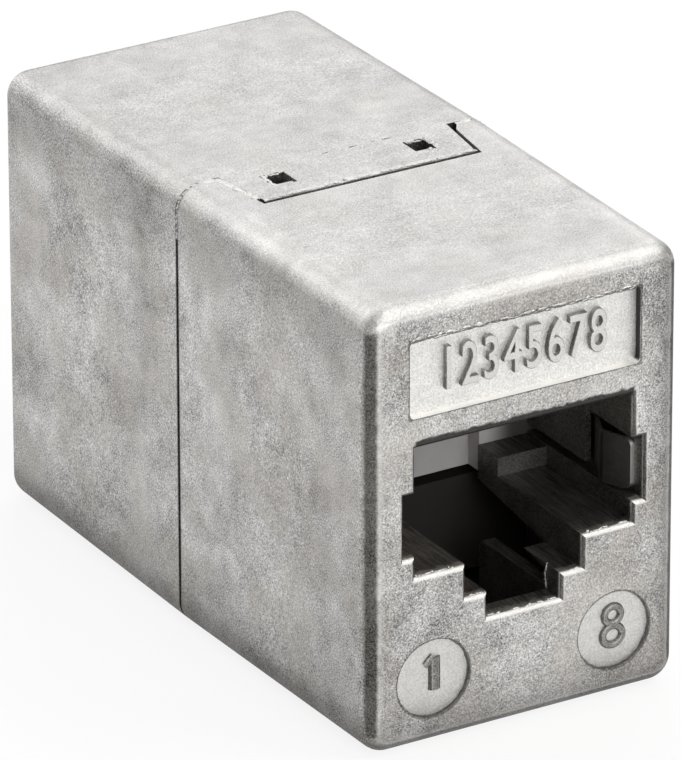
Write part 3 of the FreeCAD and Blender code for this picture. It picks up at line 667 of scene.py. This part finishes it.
# %% [markdown]
# ## The insert
#
# What shows through the ports is dim, but it still has its own materials: light grey moulded plastic, a
# green lacquered board, gold plated contacts and the tin plated springs that ground the plug. The plastic
# has painted shade, near black, below the contacts and towards the right, where the metal round it keeps
# the light out. The springs' faces are painted dark as shade, and their edges carry a painted highlight.

# %% Insert materials
def make_plastic():
    """Light grey moulded plastic, matt, with the faint orange peel of its mould, and painted shade below the
    contacts and towards the right.
    """
    plastic = Shader("grey_plastic", metallic=0.0)
    cloud = plastic.noise(1.5 * MM)
    color = plastic.mix(cloud, (0.46, 0.445, 0.445), (0.58, 0.565, 0.565))
    # painted shade: near black below the contacts and towards the right
    low = 1 - plastic.ramp(plastic.turned_height(), -3.3 * MM, -3.1 * MM)
    away = 0.92 * plastic.ramp(plastic.axis(plastic.place, "X"), 3.4 * MM, 5.2 * MM)
    color = plastic.mix(low.largest(away), color, (0.025, 0.022, 0.02))
    return plastic.finish(color, 0.42 + 0.15 * cloud, plastic.noise(0.12 * MM), 0.01 * MM)


def make_board():
    """Green lacquer over copper tracks, which show as faint raised lines."""
    board = Shader("board_green", metallic=0.0, coat=0.3)
    cloud = board.noise(0.8 * MM)
    tracks = board.node("ShaderNodeTexWave", {"bands_direction": "Z"},
                        {"Vector": board.place, "Scale": 180.0, "Distortion": 1.5}, "Fac")
    color = board.mix(0.4 * cloud + 0.5 * tracks, (0.008, 0.045, 0.03), (0.02, 0.10, 0.06))
    return board.finish(color, 0.3 + 0.15 * cloud, tracks, 0.03 * MM)


def make_gold():
    """Gold plating with fine drawing marks along the wire."""
    gold = Shader("gold_contact", metallic=1.0)
    drawn = gold.noise(0.06 * MM, place=gold.stretched(1.0, 0.1, 0.1))
    color = gold.mix(drawn, (0.78, 0.52, 0.20), (0.92, 0.70, 0.36))
    return gold.finish(color, 0.18 + 0.2 * drawn, drawn, 0.003 * MM)


def make_tin():
    """Tin plated strip: rolled along its length, slightly cloudy, its face painted dark as shade and its
    edges with a painted highlight.
    """
    tin = Shader("spring_metal", metallic=1.0)
    rolled = tin.noise(0.1 * MM, place=tin.stretched(1.0, 0.08, 1.0))
    cloud = tin.noise(0.9 * MM)
    # painted shade: the strip's face is coloured dark
    color = tin.mix(0.5 * rolled + 0.5 * cloud, (0.09, 0.085, 0.08), (0.19, 0.18, 0.17))
    # painted highlight on the strip's edges, where its direction turns away from X
    facing = abs(tin.axis(tin.node("ShaderNodeNewGeometry", output="Normal"), "X"))
    color = tin.mix(tin.ramp(facing, 0.75, 0.45), color, (0.80, 0.78, 0.75))
    return tin.finish(color, 0.28 + 0.2 * rolled, rolled, 0.006 * MM)


FINISHES = {"carrier": make_plastic(), "board": make_board(), "contact": make_gold(), "spring": make_tin()}
for word, finish in FINISHES.items():
    dressed = [solid for name, solid in nodes.items() if word in name]
    for slot in (slot for solid in dressed for slot in solid.material_slots):
        slot.material = finish
    print(word, "on", len(dressed), "solids")

# %% [markdown]
# ## The floor
#
# A pale paper floor carries the block and its soft shadow. The metal has hardly a colour of its own: it
# shows what it mirrors, and its upright faces mirror the floor. So the paper glows a little in what the
# eye and the mirrors see of it, while the light that falls on the block stays that of the lamps.

# %% Floor
def make_floor():
    """White paper. Seen straight or in the metal it is lifted towards white, and keeps a soft shadow."""
    paper = Shader("floor_paper", metallic=0.0)
    fibre = paper.noise(0.4 * MM)
    color = paper.mix(fibre, (0.93, 0.93, 0.93), (0.95, 0.95, 0.95))
    paper.finish(color, 0.9 + 0.05 * fibre, fibre, 0.002 * MM)
    glow = paper.node("ShaderNodeEmission", {}, {"Color": (1, 1, 1, 1), "Strength": 1.0})
    rays = ("Is Camera Ray", "Is Glossy Ray", "Is Transmission Ray")
    straight, mirrored, through = (paper.node("ShaderNodeLightPath", output=ray) for ray in rays)
    blend = paper.tree.nodes.new("ShaderNodeMixShader")
    paper.tree.links.new((0.85 * straight + 0.5 * (mirrored + through)).socket, blend.inputs[0])
    paper.tree.links.new(paper.surface.outputs[0], blend.inputs[1])
    paper.tree.links.new(glow.socket, blend.inputs[2])
    paper.tree.links.new(blend.outputs[0], paper.tree.nodes["Material Output"].inputs["Surface"])
    return paper.material


bpy.ops.mesh.primitive_plane_add(size=2.4, location=(0, 0, 0))
floor = bpy.context.object
floor.name = "floor"
floor.data.materials.append(make_floor())
print("floor of", round(floor.dimensions.x, 1), "m")

# %% [markdown]
# ## The light
#
# Soft boxes light the block as in a small studio. The top mirrors the boxes behind it. The front gets a
# broad box from above and a low one that reaches into the port, and one warm box on the right tints the
# near edges.

# %% Lamps
world = bpy.data.worlds.new("studio")
world.use_nodes = True
bpy.context.scene.world = world
world.node_tree.nodes["Background"].inputs["Color"].default_value = (1, 1, 1, 1)
world.node_tree.nodes["Background"].inputs["Strength"].default_value = 0.03
LAMP_DISTANCE = 0.6


def add_softbox(name, azimuth, elevation, size, power, color=(1, 1, 1)):
    """A square lamp aimed at the block. Azimuth 0 is in front of the port, 90 to its right."""
    turn, rise = math.radians(azimuth), math.radians(elevation)
    away = Vector((math.sin(turn) * math.cos(rise), -math.cos(turn) * math.cos(rise), math.sin(rise)))
    lamp_data = bpy.data.lights.new(name, "AREA")
    lamp_data.size, lamp_data.energy, lamp_data.color = size, power, color
    lamp = bpy.data.objects.new(name, lamp_data)
    bpy.context.scene.collection.objects.link(lamp)
    place = Matrix.Translation(MIDDLE + away * LAMP_DISTANCE)
    lamp.matrix_world = place @ away.to_track_quat("Z", "Y").to_matrix().to_4x4()


add_softbox("back_box", azimuth=140, elevation=35, size=0.32, power=0.80)
add_softbox("rear_box", azimuth=190, elevation=32, size=0.35, power=0.95)
add_softbox("left_box", azimuth=220, elevation=35, size=0.50, power=1.22)
add_softbox("top_box", azimuth=120, elevation=62, size=0.60, power=1.40)
add_softbox("key_box", azimuth=50, elevation=50, size=0.25, power=1.20, color=(1.0, 0.97, 0.93))
add_softbox("front_box", azimuth=-10, elevation=34, size=0.45, power=1.62)
add_softbox("low_box", azimuth=0, elevation=14, size=0.30, power=0.66)
print("lamps:", [lamp.name for lamp in bpy.data.lights])
